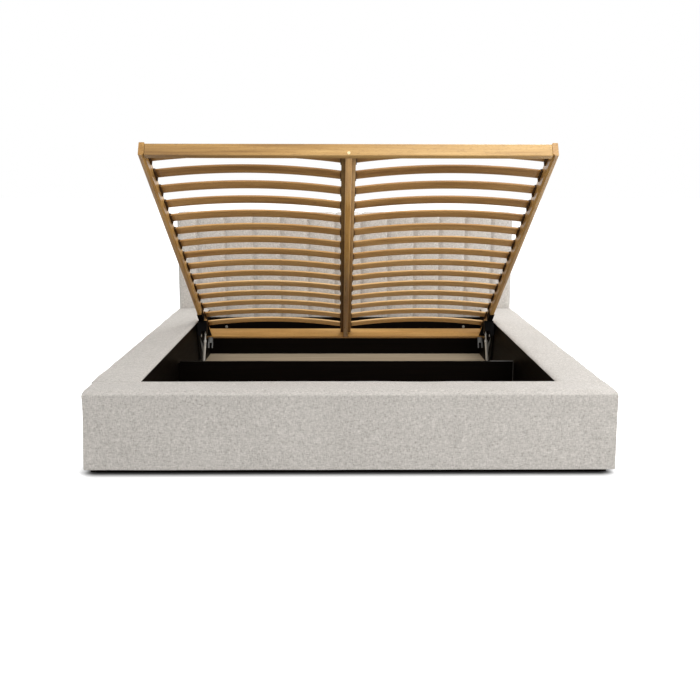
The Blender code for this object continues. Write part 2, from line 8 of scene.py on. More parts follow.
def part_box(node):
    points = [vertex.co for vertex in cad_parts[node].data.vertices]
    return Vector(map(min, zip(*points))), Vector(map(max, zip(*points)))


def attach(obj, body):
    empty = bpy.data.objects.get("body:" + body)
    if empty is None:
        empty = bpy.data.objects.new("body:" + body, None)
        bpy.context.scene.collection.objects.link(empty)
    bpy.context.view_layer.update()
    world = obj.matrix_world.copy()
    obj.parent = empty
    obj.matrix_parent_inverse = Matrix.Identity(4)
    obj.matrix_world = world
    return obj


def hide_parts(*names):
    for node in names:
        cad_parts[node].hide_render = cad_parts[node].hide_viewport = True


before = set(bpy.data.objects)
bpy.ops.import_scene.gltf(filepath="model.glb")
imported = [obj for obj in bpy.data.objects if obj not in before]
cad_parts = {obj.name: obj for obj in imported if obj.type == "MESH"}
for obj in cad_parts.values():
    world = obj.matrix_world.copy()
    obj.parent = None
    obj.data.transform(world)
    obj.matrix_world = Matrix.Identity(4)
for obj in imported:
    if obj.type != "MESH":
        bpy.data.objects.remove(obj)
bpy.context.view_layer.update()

scene = bpy.context.scene
millimetre = 0.001
sides = ((-1, "left"), (1, "right"))

# Outline of the bed
foot_low, foot_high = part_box("foot_pad")
head_low, head_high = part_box("head_pad")
back_low, back_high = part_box("head_board")
divider_low, divider_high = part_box("divider")
rear_panel_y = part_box("rear_panel")[0].y
half_bed = foot_high.x
storage_front_y = foot_high.y
half_storage = -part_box("left_side_board")[1].x

# Lid when open: its tilt, its front pivots, and their place and height on the lid
lid_tilt = math.radians(29.8)
lid_pivot = Vector((0.5419, 0.2757))
lid_pivot_place = 1.745
lid_pivot_height = -0.035
lid_length = 1.997
half_lid = 0.7955
side_rail_thickness = 0.022
cross_rail_thickness = 0.025
cross_rail_height = 0.050
centre_rail_width = 0.026

# Slats
slat_rows = 15
slat_width = 0.057
slat_thickness = 0.008
first_slat_place = 0.0884
last_slat_inset = 0.1278
slat_end_height = 0.033
slat_outer_lift = 0.007
slat_crown = 0.027
slat_end_gap = 0.3 * millimetre
slat_pitch = (lid_length - first_slat_place - last_slat_inset) / (slat_rows - 1)
slat_inner_x = centre_rail_width / 2 + slat_end_gap
slat_outer_x = half_lid - side_rail_thickness - slat_end_gap
slat_places = [first_slat_place + row * slat_pitch for row in range(slat_rows)]


# Materials

def new_material(name):
    """A material with its node tree, its Principled shader and its object coordinates."""
    material = bpy.data.materials.new(name)
    material.use_nodes = True
    tree = material.node_tree
    vector = tree.nodes.new("ShaderNodeTexCoord").outputs["Object"]
    return material, tree, tree.nodes["Principled BSDF"], vector


def set_inputs(node, **values):
    """Sets a node's inputs; an underscore stands for a space in their names."""
    for name, value in values.items():
        node.inputs[name.replace("_", " ")].default_value = value


def math_node(tree, operation, first, second=None):
    """A Math node fed by sockets or numbers."""
    node = tree.nodes.new("ShaderNodeMath")
    node.operation = operation
    for socket, value in zip(node.inputs, (first, second)):
        if value is None:
            continue
        if isinstance(value, (int, float)):
            socket.default_value = value
        else:
            tree.links.new(value, socket)
    return node.outputs[0]


def weighted_sum(tree, *parts):
    """Sum of sockets, each times its weight."""
    total = None
    for socket, weight in parts:
        part = math_node(tree, "MULTIPLY", socket, weight)
        total = part if total is None else math_node(tree, "ADD", total, part)
    return total


def split_axes(tree, vector):
    """The three parts of a vector."""
    split = tree.nodes.new("ShaderNodeSeparateXYZ")
    tree.links.new(vector, split.inputs[0])
    return split.outputs


def scaled_noise(tree, vector, scales, detail=2.0, roughness=0.5, distortion=0.0):
    """Noise stretched by a scale for each axis, in features per metre."""
    mapping = tree.nodes.new("ShaderNodeMapping")
    set_inputs(mapping, Scale=scales)
    tree.links.new(vector, mapping.inputs["Vector"])
    texture = tree.nodes.new("ShaderNodeTexNoise")
    set_inputs(texture, Scale=1.0, Detail=detail, Roughness=roughness, Distortion=distortion)
    tree.links.new(mapping.outputs["Vector"], texture.inputs["Vector"])
    return texture.outputs["Fac"]


def colour_ramp(tree, factor, stops):
    """Colours by a factor; stops are (place, colour) pairs."""
    ramp = tree.nodes.new("ShaderNodeValToRGB")
    elements = ramp.color_ramp.elements
    while len(elements) < len(stops):
        elements.new(1.0)
    for element, (place, colour) in zip(elements, stops):
        element.position = place
        element.color = (*colour, 1.0)
    tree.links.new(factor, ramp.inputs["Fac"])
    return ramp.outputs["Color"]


def add_bump(tree, shader, height, strength, distance):
    """Bump on the shader's normal from a height socket."""
    bump = tree.nodes.new("ShaderNodeBump")
    set_inputs(bump, Strength=strength, Distance=distance)
    tree.links.new(height, bump.inputs["Height"])
    tree.links.new(bump.outputs["Normal"], shader.inputs["Normal"])


def add_roughness(tree, shader, texture, span, lowest):
    """Roughness that follows a texture over a span, from its lowest value."""
    varied = math_node(tree, "MULTIPLY", texture, span)
    tree.links.new(math_node(tree, "ADD", varied, lowest), shader.inputs["Roughness"])


def weave_fabric(name):
    """Melange upholstery: light and dark yarn dashes both ways over a plain weave."""
    material, tree, shader, vector = new_material(name)
    normal = tree.nodes.new("ShaderNodeNewGeometry").outputs["Normal"]
    turned = split_axes(tree, normal)
    facing = [math_node(tree, "ABSOLUTE", turned[i]) for i in range(3)]
    level_limit = 0.72
    upward = math_node(tree, "GREATER_THAN", facing[2], level_limit)

    long_scale, fine_scale = 70.0, 420.0
    dashes = []
    for upright, level in (
        ((long_scale, long_scale, fine_scale), (long_scale, fine_scale, fine_scale)),
        ((fine_scale, fine_scale, long_scale), (fine_scale, long_scale, fine_scale)),
    ):
        mix = tree.nodes.new("ShaderNodeMix")
        tree.links.new(upward, mix.inputs["Factor"])
        tree.links.new(scaled_noise(tree, vector, upright, 1.0), mix.inputs["A"])
        tree.links.new(scaled_noise(tree, vector, level, 1.0), mix.inputs["B"])
        dashes.append(mix.outputs["Result"])
    yarn = math_node(tree, "ADD", *dashes)
    fleck = scaled_noise(tree, vector, (120.0, 120.0, 120.0), 2.0, 0.6)
    cloud = scaled_noise(tree, vector, (7.0, 7.0, 7.0))
    tone = weighted_sum(tree, (yarn, 0.31), (fleck, 0.32), (cloud, 0.06))
    stops = (
        (0.32, (0.270, 0.251, 0.227)),
        (0.44, (0.400, 0.376, 0.346)),
        (0.55, (0.500, 0.472, 0.437)),
        (0.68, (0.620, 0.587, 0.547)),
    )
    tree.links.new(colour_ramp(tree, tone, stops), shader.inputs["Base Color"])

    weave_length = 0.0021
    turns_per_metre = 2 * math.pi / weave_length
    places = split_axes(tree, vector)
    waves = []
    for i in range(3):
        turns = math_node(tree, "MULTIPLY", places[i], turns_per_metre)
        waves.append(math_node(tree, "SINE", turns))
    weave = None
    for across, along, faced in ((0, 1, 2), (0, 2, 1), (1, 2, 0)):
        crossing = math_node(tree, "MULTIPLY", waves[across], waves[along])
        crossing = math_node(tree, "MULTIPLY", crossing, facing[faced])
        weave = crossing if weave is None else math_node(tree, "ADD", weave, crossing)
    height = math_node(tree, "MULTIPLY", weave, 0.30)
    height = math_node(tree, "ADD", height, tone)
    add_bump(tree, shader, height, strength=0.55, distance=0.0016)
    set_inputs(shader, Roughness=0.95, Specular_IOR_Level=0.18, Sheen_Weight=0.22, Sheen_Roughness=0.5)
    return material


def beech_wood(name, along_lid, shade, gloss=0.3, painted_light_drifts=(0.0, 0.0), knot=None):
    """Lacquered beech with its grain across the bed or along the lid.

    The two drifts are painted light: they make the tone lighter to the right and to the rear, in tone per
    metre, where more light falls; knot is a (centre, radius).
    """
    material, tree, shader, coordinates = new_material(name)
    rotate = tree.nodes.new("ShaderNodeVectorRotate")
    rotate.rotation_type = "X_AXIS"
    set_inputs(rotate, Angle=lid_tilt)
    tree.links.new(coordinates, rotate.inputs["Vector"])
    vector = rotate.outputs["Vector"]

    def grain(along, across, detail=2.0, roughness=0.5, distortion=0.0):
        scales = (across, along, across) if along_lid else (along, across, across)
        return scaled_noise(tree, vector, scales, detail, roughness, distortion)

    figure = grain(1.6, 26.0, 3.0, 0.55, 0.6)
    streaks = grain(4.0, 170.0, 3.0, 0.6)
    flecks = grain(70.0, 900.0, 1.0)
    batch = scaled_noise(tree, vector, (0.3, 6.3, 0.3), 0.0)
    tone = weighted_sum(tree, (figure, 0.50), (streaks, 0.30), (batch, 0.20))
    places = split_axes(tree, coordinates)
    # Painted light: the tone rises to the right and to the rear, standing in for the light that falls there.
    painted_drift_starts = (0.0, -0.45)
    for axis, (painted_drift, start) in enumerate(zip(painted_light_drifts, painted_drift_starts)):
        if painted_drift:
            away = math_node(tree, "SUBTRACT", places[axis], start)
            tone = math_node(tree, "ADD", tone, math_node(tree, "MULTIPLY", away, painted_drift))
    stops = (
        (0.30, (0.230, 0.114, 0.028)),
        (0.45, (0.370, 0.196, 0.052)),
        (0.58, (0.485, 0.275, 0.080)),
        (0.72, (0.590, 0.365, 0.125)),
        (0.95, (0.720, 0.490, 0.205)),
    )
    stops = [(place, [level * part for level, part in zip(colour, shade)]) for place, colour in stops]
    result = colour_ramp(tree, tone, stops)
    fleck_limit, fleck_strength = 0.365, 0.38
    fleck_share = math_node(tree, "LESS_THAN", flecks, fleck_limit)
    fleck_share = math_node(tree, "MULTIPLY", fleck_share, fleck_strength)
    stains = [(fleck_share, (0.12, 0.055, 0.018, 1.0))]
    if knot:
        centre, radius = knot
        core_share = 0.55
        away = tree.nodes.new("ShaderNodeVectorMath")
        away.operation = "DISTANCE"
        tree.links.new(coordinates, away.inputs[0])
        away.inputs[1].default_value = centre
        rings = ((core_share * radius, (1.0, 1.0, 1.0)), (radius, (0.0, 0.0, 0.0)))
        knot_share = colour_ramp(tree, away.outputs["Value"], rings)
        stains.append((knot_share, (0.055, 0.022, 0.008, 1.0)))
    for share, stain in stains:
        mix = tree.nodes.new("ShaderNodeMix")
        mix.data_type = "RGBA"
        tree.links.new(share, mix.inputs["Factor"])
        tree.links.new(result, mix.inputs["A"])
        mix.inputs["B"].default_value = stain
        result = mix.outputs["Result"]
    tree.links.new(result, shader.inputs["Base Color"])
    height = math_node(tree, "SUBTRACT", streaks, fleck_share)
    add_bump(tree, shader, height, strength=0.20, distance=0.0006)
    add_roughness(tree, shader, streaks, span=0.20, lowest=0.45 - gloss * 0.5)
    set_inputs(shader, Specular_IOR_Level=gloss)
    return material


def faced_board(name, scales, detail, stops, roughness_span, low_roughness, bump, gloss):
    """Faced board with a stretched, faintly pressed grain."""
    material, tree, shader, vector = new_material(name)
    grain = scaled_noise(tree, vector, scales, detail, 0.6)
    tree.links.new(colour_ramp(tree, grain, stops), shader.inputs["Base Color"])
    add_roughness(tree, shader, grain, roughness_span, low_roughness)
    add_bump(tree, shader, grain, strength=bump, distance=0.0003)
    set_inputs(shader, Specular_IOR_Level=gloss)
    return material


def mottled(
    name, dark, light, metallic=0.0, low_roughness=0.45, roughness_span=0.2, bump=0.1, gloss=0.5
):
    """Plain finish with fine mottling: metal, powder coat or plastic."""
    material, tree, shader, vector = new_material(name)
    speckle = scaled_noise(tree, vector, (260.0, 260.0, 260.0), 3.0, 0.6)
    wear = scaled_noise(tree, vector, (30.0, 30.0, 30.0))
    tone = math_node(tree, "ADD", speckle, wear)
    tone = math_node(tree, "MULTIPLY", tone, 0.5)
    stops = ((0.35, dark), (0.65, light))
    tree.links.new(colour_ramp(tree, tone, stops), shader.inputs["Base Color"])
    add_roughness(tree, shader, wear, roughness_span, low_roughness)
    add_bump(tree, shader, speckle, strength=bump, distance=0.0002)
    set_inputs(shader, Metallic=metallic, Specular_IOR_Level=gloss)
    return material


fabric = weave_fabric("fabric_weave")
# The front rail's tone is painted lighter to the right, where the light falls, and its bluer tint, partly the
# rail's own colour, whitens that lighter end as a painted highlight.
front_beech = beech_wood("beech_front_rail", False, (1.0, 1.08, 1.30), gloss=0.4, painted_light_drifts=(0.12, 0.0))
cross_beech = beech_wood("beech_across", False, (1.0, 0.98, 0.94))
# The slats are painted lighter to the right and towards the rear rows: painted light. The knot is a real mark
# in the wood.
slat_knot = ((-0.140, -0.527, 0.974), 0.012)
slat_beech = beech_wood("beech_slats", False, (1.0, 0.99, 1.18), painted_light_drifts=(0.02, 0.20), knot=slat_knot)
long_beech = beech_wood("beech_along", True, (0.95, 0.95, 0.95), gloss=0.5)
dark_board = faced_board(
    "board_black", (7.0, 7.0, 210.0), 3.0,
    ((0.30, (0.0010, 0.0006, 0.0003)), (0.70, (0.0030, 0.0017, 0.0009))),
    roughness_span=0.18, low_roughness=0.42, bump=0.12, gloss=0.04,
)
light_board = faced_board(
    "board_pale", (1.6, 55.0, 55.0), 4.0,
    ((0.30, (0.235, 0.185, 0.125)), (0.50, (0.345, 0.275, 0.190)), (0.70, (0.430, 0.350, 0.250))),
    roughness_span=0.15, low_roughness=0.45, bump=0.08, gloss=0.3,
)
black_coat = mottled(
    "steel_black_coat", (0.0016, 0.0014, 0.0014), (0.0034, 0.0031, 0.0031),
    low_roughness=0.42, roughness_span=0.25, bump=0.25, gloss=0.04,
)
zinc = mottled(
    "steel_zinc", (0.74, 0.74, 0.71), (0.90, 0.90, 0.86),
    metallic=0.20, low_roughness=0.34, roughness_span=0.25,
)
cap_plastic = mottled("plastic_dark_brown", (0.040, 0.018, 0.005), (0.066, 0.031, 0.010), gloss=0.15)
# One strip plastic in a darker and a lighter copy: the left centre strip gets painted shade, the right one
# painted light.
painted_shade_strip = mottled("plastic_mid_brown", (0.125, 0.072, 0.024), (0.180, 0.108, 0.040), gloss=0.08)
painted_light_strip = mottled("plastic_beech", (0.360, 0.225, 0.100), (0.460, 0.295, 0.135), gloss=0.15)
pale_plastic = mottled("plastic_pale", (0.15, 0.14, 0.12), (0.22, 0.21, 0.18), low_roughness=0.35)
# A darker copy of the zinc for the rear arms and rear stops, which sit in shade: painted shade.
painted_shade_zinc = mottled(
    "steel_zinc_dull", (0.17, 0.175, 0.17), (0.25, 0.255, 0.25),
    metallic=0.10, low_roughness=0.40, roughness_span=0.25,
)
cream_plastic = mottled("plastic_cream", (0.74, 0.56, 0.30), (0.86, 0.68, 0.40), low_roughness=0.40)
edge_band = mottled("edge_band_grey", (0.022, 0.021, 0.019), (0.038, 0.036, 0.033), low_roughness=0.35)

node_materials = {"lid_front_rail": front_beech, "lid_rear_rail": cross_beech}
for node_name in ("foot_board", "front_ledge", "rear_panel", "divider"):
    node_materials[node_name] = dark_board
for node_name in ("floor_front", "floor_rear"):
    node_materials[node_name] = light_board
for _, label in sides:
    node_materials[f"{label}_side_board"] = dark_board
    node_materials[f"lid_{label}_rail"] = long_beech
    # The rear arms are zinc, given the darker zinc copy as painted shade.
    node_materials[f"{label}_rear_arm"] = painted_shade_zinc
    for part in ("side_plate", "front_arm", "lid_bracket"):
        node_materials[f"{label}_{part}"] = black_coat
    for part in ("gas_cylinder", "gas_rod"):
        node_materials[f"{label}_{part}"] = zinc
for node_name, node_material in node_materials.items():
    for material_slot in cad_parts[node_name].material_slots:
        material_slot.material = node_material


# Mesh helpers

def mesh_object(name, points, faces, material, smooth=True):
    """A new object at the origin from points and faces."""
    mesh = bpy.data.meshes.new(name)
    mesh.from_pydata(points, [], faces)
    maker = bmesh.new()
    maker.from_mesh(mesh)
    bmesh.ops.recalc_face_normals(maker, faces=maker.faces)
    maker.to_mesh(mesh)
    maker.free()
    for face in mesh.polygons:
        face.use_smooth = smooth
    mesh.materials.append(material)
    piece = bpy.data.objects.new(name, mesh)
    scene.collection.objects.link(piece)
    return piece


def round_places(low, high, low_round, high_round, step, round_steps=4):
    """Grid lines along one axis: close together on the rounded edges and about a step apart between."""
    quarter = math.pi / 4
    shares = [math.tan(quarter * i / round_steps) for i in range(round_steps, 0, -1)]
    places = [low + low_round * (1 - share) for share in shares]
    start, end = low + low_round, high - high_round
    count = max(1, round((end - start) / step))
    places += [start + (end - start) * i / count for i in range(count + 1)]
    places += [high - high_round * (1 - share) for share in reversed(shares)]
    return places


def grid_block(xs, ys, zs):
    """Points and faces of a block's surface, with grid lines at the given places."""
    counts = (len(xs), len(ys), len(zs))
    numbers, points, faces = {}, [], []

    def number(i, j, k):
        key = (i, j, k)
        if key not in numbers:
            numbers[key] = len(points)
            points.append(Vector((xs[i], ys[j], zs[k])))
        return numbers[key]

    for axis in range(3):
        first, second = [a for a in range(3) if a != axis]
        for end in (0, counts[axis] - 1):
            for a in range(counts[first] - 1):
                for b in range(counts[second] - 1):
                    corners = []
                    for step_a, step_b in ((0, 0), (1, 0), (1, 1), (0, 1)):
                        key = [0, 0, 0]
                        key[axis] = end
                        key[first] = a + step_a
                        key[second] = b + step_b
                        corners.append(number(*key))
                    faces.append(corners)
    return points, faces


def round_point(point, low, high, low_rounds, high_rounds):
    """Moves a point of a block's surface onto the same block with rounded edges."""
    inner, reach = Vector(point), []
    for axis in range(3):
        low_line = low[axis] + low_rounds[axis]
        high_line = high[axis] - high_rounds[axis]
        inner[axis] = min(max(point[axis], low_line), high_line)
        reach.append(low_rounds[axis] if point[axis] < inner[axis] else high_rounds[axis])
    away = Vector([(point[a] - inner[a]) / reach[a] if reach[a] else 0.0 for a in range(3)])
    if away.length == 0:
        return inner
    away.normalize()
    return Vector([inner[a] + away[a] * reach[a] for a in range(3)])


def inflate(piece, pinned, limit):
    """Swells a piece with cloth simulation, held where pinned says so, and keeps the move under a limit."""
    frames = 20
    pressure = 4.0
    before = [vertex.co.copy() for vertex in piece.data.vertices]
    group = piece.vertex_groups.new(name="held")
    held = [i for i, place in enumerate(before) if pinned(place)]
    group.add(held, 1.0, "REPLACE")
    cloth = piece.modifiers.new("cloth", "CLOTH")
    settings = cloth.settings
    settings.quality = 5
    settings.mass = 0.3
    settings.tension_stiffness = 15
    settings.compression_stiffness = 15
    settings.shear_stiffness = 5
    settings.bending_stiffness = 0.5
    settings.use_pressure = True
    settings.uniform_pressure_force = pressure
    settings.vertex_group_mass = "held"
    settings.effector_weights.gravity = 0
    cloth.point_cache.frame_start = 1
    cloth.point_cache.frame_end = frames
    for number in range(1, frames + 1):
        scene.frame_set(number)
    graph = bpy.context.evaluated_depsgraph_get()
    swollen = [vertex.co.copy() for vertex in piece.evaluated_get(graph).data.vertices]
    piece.modifiers.remove(cloth)
    piece.vertex_groups.clear()
    for vertex, old, new in zip(piece.data.vertices, before, swollen):
        move = new - old
        if move.length > 0:
            vertex.co = old + move * (limit * math.tanh(move.length / limit) / move.length)
    scene.frame_set(1)


def subdivide(piece):
    """One level of smooth subdivision, applied."""
    modifier = piece.modifiers.new("smooth", "SUBSURF")
    modifier.levels = modifier.render_levels = 1
    graph = bpy.context.evaluated_depsgraph_get()
    mesh = bpy.data.meshes.new_from_object(piece.evaluated_get(graph))
    piece.modifiers.remove(modifier)
    piece.data = mesh
    for face in mesh.polygons:
        face.use_smooth = True


def ripple(piece, height, wave_length, keep, seed):
    """Moves the free points along their normals by soft noise."""
    offset = Vector((seed, 0.0, 0.0))
    for vertex in piece.data.vertices:
        share = keep(vertex.co)
        if share > 0:
            value = noise.noise(vertex.co / wave_length + offset)
            vertex.co += vertex.normal * height * value * share


def finish_cover(piece, fill, *nodes):
    """Attaches a padded cover to the base and lets it stand for its solids."""
    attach(piece, "base")
    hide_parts(*nodes)


# Padded covers

pad_step = 0.024
swell = 5 * millimetre
lip_drop = 0.012
lip_depth = 0.0185
held_edge = 2 * millimetre


def smooth_share(value):
    """0 below 0, 1 above 1, with a soft step between."""
    value = min(max(value, 0.0), 1.0)
    return value * value * (3 - 2 * value)


def round_section(across, up, low, high, corners):
    """Moves a point of a rectangle into the same rectangle with rounded corners.

    corners holds (reach across, reach up) for each corner, first by side and then by lower or upper.
    """
    far = across > (low[0] + high[0]) / 2
    upper = up > (low[1] + high[1]) / 2
    reach_across, reach_up = corners[far][upper]
    line_across = high[0] - reach_across if far else low[0] + reach_across
    line_up = high[1] - reach_up if upper else low[1] + reach_up
    beyond_across = (across - line_across) / reach_across
    beyond_up = (up - line_up) / reach_up
    if (beyond_across > 0) != far or (beyond_up > 0) != upper or not beyond_across or not beyond_up:
        return across, up
    shrink = max(abs(beyond_across), abs(beyond_up)) / math.hypot(beyond_across, beyond_up)
    return line_across + reach_across * beyond_across * shrink, line_up + reach_up * beyond_up * shrink


def padded_bar(axis, low, high, corners, end_round, lip_line):
    """A long padded bar: its flat block's points, the same points rounded, and its faces."""
    first, second = [a for a in range(3) if a != axis]
    lines = []
    for a in range(3):
        if a == axis:
            low_round = high_round = end_round
        elif a == first:
            low_round, high_round = [max(corner[0] for corner in side) for side in corners]
        else:
            low_round, high_round = [max(side[upper][1] for side in corners) for upper in range(2)]
        lines.append(round_places(low[a], high[a], low_round, high_round, pad_step))
    clear = 4 * millimetre
    lines[2] = sorted([z for z in lines[2] if abs(z - lip_line) > clear] + [lip_line, lip_line + millimetre])
    points, faces = grid_block(*lines)
    section_low, section_high = (low[first], low[second]), (high[first], high[second])
    placed = []
    for point in points:
        moved = Vector(point)
        moved[first], moved[second] = round_section(
            point[first], point[second], section_low, section_high, corners
        )
        distance = min(point[axis] - low[axis], high[axis] - point[axis])
        if distance < end_round:
            draw_in = end_round - math.sqrt(max(0.0, end_round ** 2 - (end_round - distance) ** 2))
            for a in (first, second):
                middle, half = (low[a] + high[a]) / 2, (high[a] - low[a]) / 2
                moved[a] = middle + (moved[a] - middle) * (1 - draw_in / half)
        placed.append(moved)
    return points, placed, faces


def build_foot_cover():
    """Footboard: deep padding with a soft roll along its top, its left end leaning in a little."""
    inset, skin = 2 * millimetre, 0.5 * millimetre
    low = Vector((-half_bed + inset, foot_low.y + swell, foot_low.z))
    high = Vector((half_bed - inset, foot_high.y - skin, foot_high.z - skin))
    corners = (((0.008, 0.006), (0.052, 0.011)), ((0.006, 0.006), (0.008, 0.006)))
    end_round = 0.006
    lip_line = foot_high.z - lip_drop
    points, placed, faces = padded_bar(0, low, high, corners, end_round, lip_line)
    board_y = foot_high.y - lip_depth
    board_reach = half_storage + pad_step
    flare, flare_top, flare_depth = 6 * millimetre, 0.27, 0.06
    lean, lean_top, lean_shares = 0.013, 0.25, (0.6, 0.4)
    left_start, left_reach = 0.2, 0.8
    roll, roll_low, roll_high = 0.002, 0.262, 0.300
    crown, crown_depth, crown_end = 6 * millimetre, 0.15, 0.1
    for point, moved in zip(points, placed):
        if point.y > board_y and point.z <= lip_line and abs(point.x) < board_reach:
            moved.y = board_y
        front_share = smooth_share(1 - (point.y - low.y) / flare_depth)
        moved.y -= flare * max(0.0, 1 - moved.z / flare_top) * front_share
        left_share = smooth_share((-moved.x - left_start) / left_reach)
        leaning = lean * (lean_shares[0] + lean_shares[1] * smooth_share(moved.z / lean_top))
        roll_share = smooth_share((moved.z - roll_low) / (roll_high - roll_low))
        moved.x += (leaning - roll * roll_share) * left_share
        across_share = min(1.0, max(0.0, (point.y - low.y) / crown_depth))
        end_share = smooth_share((half_bed - abs(point.x)) / crown_end)
        moved.z += crown * math.sin(math.pi * math.sqrt(across_share)) * roll_share * end_share
    cover = mesh_object("foot_cover", placed, faces, fabric)

    def held(place):
        inside = place.y > board_y - held_edge and place.z < lip_line + held_edge
        return inside or place.z < foot_low.z + held_edge

    inflate(cover, held, swell)
    ripple(cover, height=0.0020, wave_length=0.20, keep=lambda place: 0.0 if held(place) else 1.0, seed=3.0)
    subdivide(cover)
    finish_cover(cover, 0.85, "foot_pad")


def build_side_cover(side, label):
    """Side rail padding; the left one has a soft fold across its top towards the headboard."""
    gap = inset = 1.5 * millimetre
    low = Vector((half_storage, storage_front_y + gap, foot_low.z))
    high = Vector((half_bed - inset, head_low.y - gap, foot_high.z - inset))
    corners = (((0.006, 0.006), (0.034, 0.011)), ((0.008, 0.008), (0.009, 0.009)))
    end_round = 0.007
    lip_line = foot_high.z - lip_drop
    points, placed, faces = padded_bar(1, low, high, corners, end_round, lip_line)
    board_x = half_storage + lip_depth
    for point, moved in zip(points, placed):
        if point.x < board_x and point.z <= lip_line:
            moved.x = board_x
        moved.x *= side
    cover = mesh_object(f"{label}_side_cover", placed, faces, fabric)

    def held(place):
        near_end = place.y < low.y + held_edge or place.y > high.y - held_edge
        inside = abs(place.x) < board_x + held_edge and place.z < lip_line + held_edge
        return inside or place.z < low.z + held_edge or near_end

    def free_share(place):
        end_reach = 0.06
        if held(place):
            return 0.0
        return smooth_share(min(place.y - low.y, high.y - place.y) / end_reach)

    inflate(cover, held, swell)
    ripple(cover, height=0.0026, wave_length=0.16, keep=free_share, seed=9.0 + side)
    fold_y, fold_x, fold_slope = high.y - 0.24, 0.86, 1.1
    fold_depth, fold_width, fold_reach, fold_band = 4 * millimetre, 0.03, 0.09, 0.02
    if side < 0:
        for vertex in cover.data.vertices:
            if vertex.co.z > high.z - fold_band:
                out = abs(vertex.co.x) - fold_x
                line = vertex.co.y - fold_y - out * fold_slope
                along = max(0.0, 1 - abs(out) / fold_reach)
                vertex.co.z -= fold_depth * along * math.exp(-((line / fold_width) ** 2))
    subdivide(cover)
    finish_cover(cover, 0.8, f"{label}_side_pad")


# Places of the headboard's seams, measured in the photograph
seam_places = (-0.877, -0.714, -0.548, -0.383, -0.220, -0.061, 0.096, 0.255, 0.411, 0.562, 0.716, 0.872)
channel_shares = (0.0, 0.035, 0.09, 0.17, 0.28, 0.42, 0.58, 0.72, 0.83, 0.91, 0.965)


def build_head_cover():
    """Headboard: upright channels, sewn down along their seams and swollen between them."""
    swell_front = 4 * millimetre
    channel_depth, scallop, fullness_power = 0.024, 0.012, 6
    top_round, side_round, low_round, back_round = 0.034, 0.016, 0.010, 0.004
    top_inset = 5 * millimetre
    depth_step, height_step, round_steps = 0.015, 0.032, 5
    front_y, back_y = head_low.y + swell_front, head_high.y
    top_z = head_high.z - top_inset
    edges = (-half_bed, *seam_places, half_bed)
    xs, fullness = [], {}
    for left, right in zip(edges, edges[1:]):
        for share in channel_shares:
            x = left + (right - left) * share
            xs.append(x)
            fullness[x] = 1 - abs(2 * share - 1) ** fullness_power
    xs.append(half_bed)
    fullness[half_bed] = 0.0
    ys = round_places(front_y, back_y, top_round, back_round, depth_step, round_steps)
    zs = round_places(head_low.z, top_z, low_round, top_round, height_step, round_steps)
    points, faces = grid_block(xs, ys, zs)
    low = Vector((-half_bed, front_y, head_low.z))
    high = Vector((half_bed, back_y, top_z))
    placed, seams = [], set()
    digits = 6
    for point in points:
        full = fullness[min(fullness, key=lambda x: abs(x - point.x))]
        moved = round_point(point, low, high, (0.0, top_round, low_round), (0.0, back_round, top_round))
        beyond = max(0.0, 1 - (half_bed - abs(point.x)) / side_round)
        side_draw = side_round * (1 - math.sqrt(max(0.0, 1 - beyond ** 2)))
        valley = channel_depth * (1 - full) + side_draw
        depth_share = 1 - (moved.y - front_y) / (back_y - front_y)
        moved.y += valley * depth_share
        top_share = smooth_share((moved.z - top_z + 3 * top_round) / (3 * top_round))
        moved.z -= (scallop * (1 - full) + side_draw / 2) * top_share
        if full == 0.0:
            seams.add(tuple(round(value, digits) for value in moved))
        placed.append(moved)
    cover = mesh_object("head_cover", placed, faces, fabric)

    def held(place):
        on_seam = tuple(round(value, digits) for value in place) in seams
        return on_seam or place.y > back_y - held_edge or place.z < head_low.z + held_edge

    inflate(cover, held, swell_front)
    subdivide(cover)
    finish_cover(cover, 0.8, "head_pad")


def build_back_cover():
    """Back of the headboard: a flat covered panel with a soft edge."""
    low = Vector((back_low.x, back_low.y + millimetre, back_low.z))
    high = Vector(back_high)
    low_rounds = (0.010, 0.004, 0.004)
    high_rounds = (0.010, 0.010, 0.010)
    steps = (0.09, 0.03, 0.09)
    lines = [round_places(low[a], high[a], low_rounds[a], high_rounds[a], steps[a]) for a in range(3)]
    points, faces = grid_block(*lines)
    placed = [round_point(point, low, high, low_rounds, high_rounds) for point in points]
    cover = mesh_object("head_back_cover", placed, faces, fabric)
    finish_cover(cover, 0.1, "head_board")


build_foot_cover()
for side, label in sides:
    build_side_cover(side, label)
build_head_cover()
build_back_cover()


# Lid pieces

def lid_point(x, place, height):
    """A point of the open lid, from its place along the lid and its height over the rails' underside."""
    along, up = place - lid_pivot_place, height - lid_pivot_height
    y = lid_pivot.x + along * math.cos(lid_tilt) + up * math.sin(lid_tilt)
    z = lid_pivot.y - along * math.sin(lid_tilt) + up * math.cos(lid_tilt)
    return Vector((x, y, z))


def finish_piece(piece, body, slot_name, *nodes):
    """Lets a hard piece move with a body, and stand for nodes if there are any."""
    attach(piece, body)
    if nodes:
        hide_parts(*nodes)


def bevelled_blocks(name, blocks, bevel, material, on_lid=False):
    """One piece made of blocks with rounded edges; each block is its lowest and highest corner."""
    points, faces = [], []
    for low, high in blocks:
        maker = bmesh.new()
        for vertex in bmesh.ops.create_cube(maker, size=2.0)["verts"]:
            vertex.co = Vector([low[a] if vertex.co[a] < 0 else high[a] for a in range(3)])
        bmesh.ops.bevel(maker, geom=maker.edges[:], offset=bevel, segments=2, profile=0.5, affect="EDGES")
        maker.verts.index_update()
        first = len(points)
        points += [vertex.co.copy() for vertex in maker.verts]
        faces += [[first + vertex.index for vertex in face.verts] for face in maker.faces]
        maker.free()
    if on_lid:
        points = [lid_point(*point) for point in points]
    return mesh_object(name, points, faces, material, False)


